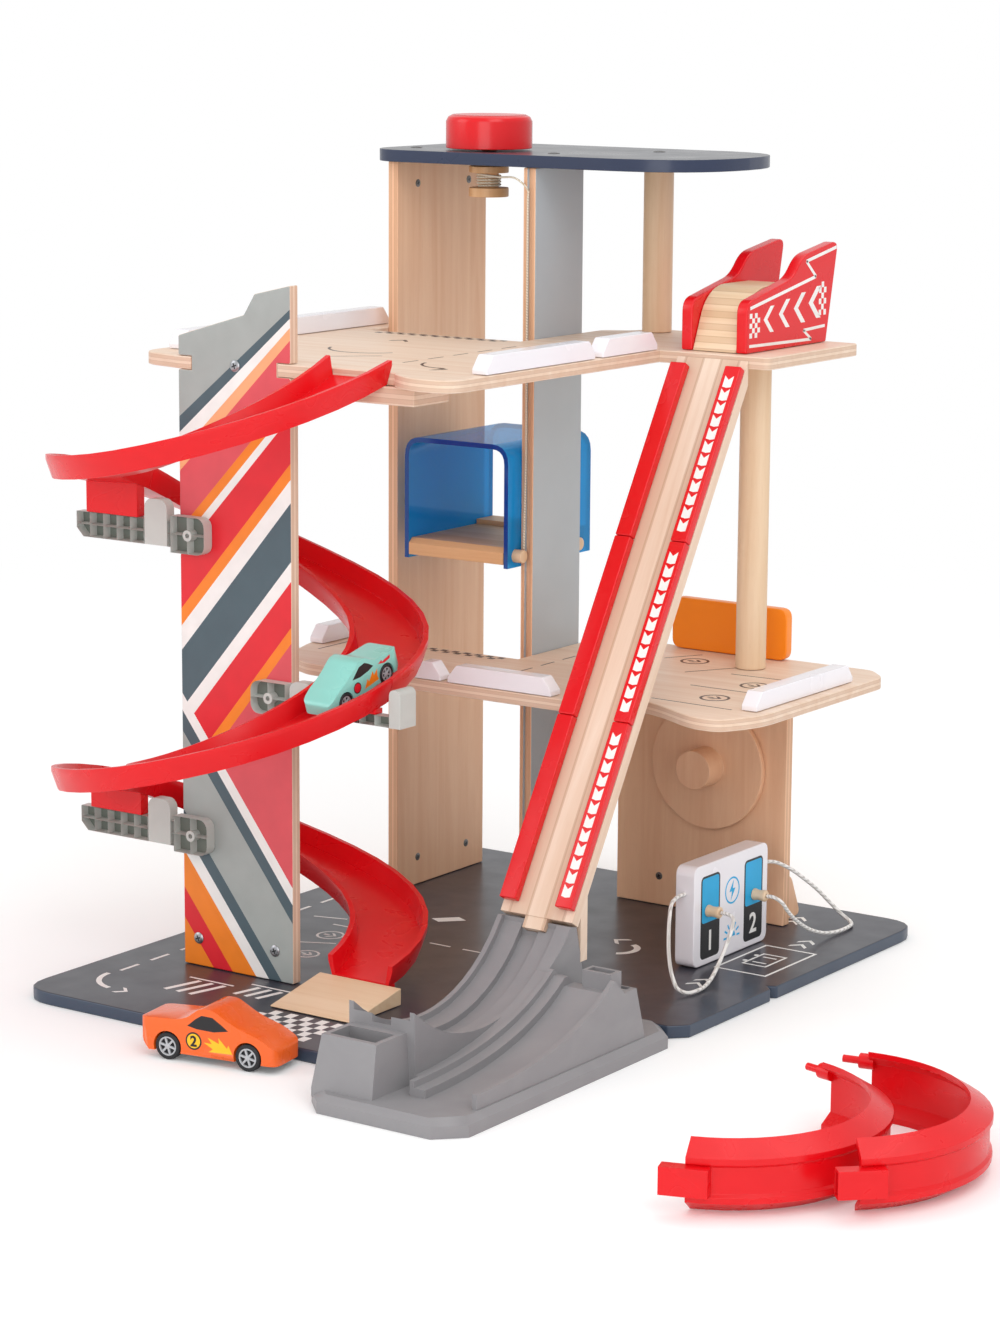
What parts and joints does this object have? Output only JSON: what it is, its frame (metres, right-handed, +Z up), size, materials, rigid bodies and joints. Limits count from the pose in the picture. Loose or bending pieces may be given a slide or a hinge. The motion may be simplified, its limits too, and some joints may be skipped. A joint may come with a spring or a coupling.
{
  "type": "toy parking garage",
  "caption": "Wooden toy parking garage with decks, a hand-wound lift, a spiral road, a steep ramp with a launch base, a charging post, loose loop halves and cars.",
  "frame": {"origin": "the middle of the base board's underside, on the floor", "axes": "+Z is up; +X runs along the board's front edge to the viewer's right and towards them; +Y runs away from the viewer to the right"},
  "size_m": [0.6196, 0.5178, 0.4894],
  "materials": {
    "base_paint": "plywood, satin slate print on top",
    "deck_print": "plywood, clear lacquer over dark printed marks",
    "roof_paint": "plywood, satin navy print on top",
    "natural_wood": "light wood, clear satin lacquer",
    "grey_blue_paint": "plywood, satin grey-blue print",
    "orange_paint": "satin orange paint",
    "white_paint": "satin white paint",
    "striped_print": "plywood with printed diagonal stripes",
    "red_paint": "gloss red paint",
    "red_plastic": "moulded, semi-gloss",
    "grey_plastic": "moulded, satin",
    "light_grey_plastic": "moulded, satin",
    "blue_clear_plastic": "translucent blue moulding",
    "charger_print": "white paint with two printed screens",
    "white_cord": "round braided cord",
    "natural_string": "thin twisted string",
    "mint_paint": "satin mint paint",
    "dark_wheels": "moulded wheels with spokes"
  },
  "bodies": {
    "garage": {"base_board": "base_paint", "middle_deck": "deck_print", "upper_deck": "deck_print", "roof_board": "roof_paint", "west_lift_panel": "natural_wood", "east_lift_panel": "grey_blue_paint", "lower_wall_panel": "natural_wood", "lower_column": "natural_wood", "upper_column": "natural_wood", "orange_wall": "orange_paint", "upper_curb_front": "white_paint", "upper_curb_rear": "white_paint", "upper_curb_left": "white_paint", "middle_curb_front": "white_paint", "middle_curb_centre": "white_paint", "middle_curb_right": "white_paint", "middle_curb_left": "white_paint", "tower_panel": "striped_print", "spiral_road_first": "red_plastic", "spiral_road_second": "red_plastic", "spiral_road_third": "red_plastic", "spiral_road_fourth": "red_plastic", "road_bracket_upper": "light_grey_plastic", "road_bracket_middle": "light_grey_plastic", "road_bracket_lower": "light_grey_plastic", "road_block": "natural_wood", "exit_wedge": "natural_wood", "ramp_board": "natural_wood", "ramp_rail_left_1": "red_plastic", "ramp_rail_left_2": "red_plastic", "ramp_rail_left_3": "red_plastic", "ramp_rail_right_1": "red_plastic", "ramp_rail_right_2": "red_plastic", "ramp_rail_right_3": "red_plastic", "launch_base": "grey_plastic", "start_panel_left": "red_paint", "start_panel_right": "red_paint", "start_hump": "natural_wood", "lift_string": "natural_string", "charger_box": "charger_print", "charger_cord_front": "white_cord", "charger_cord_rear": "white_cord", "loop_half_left": "red_plastic", "loop_half_right": "red_plastic", "orange_car_body": "orange_paint", "mint_car_body": "mint_paint"},
    "lift": {"cabin_shell": "blue_clear_plastic", "cabin_floor": "natural_wood", "cabin_dowel_front": "natural_wood", "cabin_dowel_rear": "natural_wood"},
    "winch": {"lift_knob": "red_paint", "lift_spool": "natural_wood", "string_winding": "natural_string"},
    "disc": {"wall_disc": "natural_wood"},
    "plug_front": {"charger_plug_front": "natural_wood"},
    "plug_rear": {"charger_plug_rear": "natural_wood"},
    "orange_front_wheels": {"orange_car_front_wheels": "dark_wheels"},
    "orange_rear_wheels": {"orange_car_rear_wheels": "dark_wheels"},
    "mint_front_wheels": {"mint_car_front_wheels": "dark_wheels"},
    "mint_rear_wheels": {"mint_car_rear_wheels": "dark_wheels"}
  },
  "joints": [
    {"name": "lift_slide", "type": "slide", "parent": "garage", "child": "lift", "axis": [0, 0, 1], "range_m": [-0.2155, 0.1244], "deforming": ["lift_string"]},
    {"name": "winch_turn", "type": "hinge", "parent": "garage", "child": "winch", "pos_m": [-0.08, 0.114, 0.465], "axis": [0, 0, 1], "range_deg": [-1045, 1800]},
    {"name": "disc_turn", "type": "hinge", "parent": "garage", "child": "disc", "pos_m": [0.058, 0.152, 0.101], "axis": [0, 1, 0], "continuous": true},
    {"name": "plug_front_pull", "type": "slide", "parent": "garage", "child": "plug_front", "axis": [1, 0, 0], "range_m": [0, 0.015], "deforming": ["charger_cord_front"]},
    {"name": "plug_rear_pull", "type": "slide", "parent": "garage", "child": "plug_rear", "axis": [1, 0, 0], "range_m": [0, 0.015], "deforming": ["charger_cord_rear"]},
    {"name": "orange_front_wheels_turn", "type": "hinge", "parent": "garage", "child": "orange_front_wheels", "pos_m": [0.01418, -0.22904, 0.0075], "axis": [-0.1616, 0.9869, 0], "continuous": true},
    {"name": "orange_rear_wheels_turn", "type": "hinge", "parent": "garage", "child": "orange_rear_wheels", "pos_m": [-0.03418, -0.23696, 0.0075], "axis": [-0.1616, 0.9869, 0], "continuous": true},
    {"name": "mint_front_wheels_turn", "type": "hinge", "parent": "garage", "child": "mint_front_wheels", "pos_m": [-0.00621, -0.13865, 0.18085], "axis": [-0.9986, 0.0523, 0], "continuous": true},
    {"name": "mint_rear_wheels_turn", "type": "hinge", "parent": "garage", "child": "mint_rear_wheels", "pos_m": [-0.0044, -0.10422, 0.19206], "axis": [-0.9986, 0.0523, 0], "continuous": true}
  ],
  "couplings": [
    {"joint": "winch_turn", "follows": "lift_slide", "rad_per_m": -144.93}
  ]
}
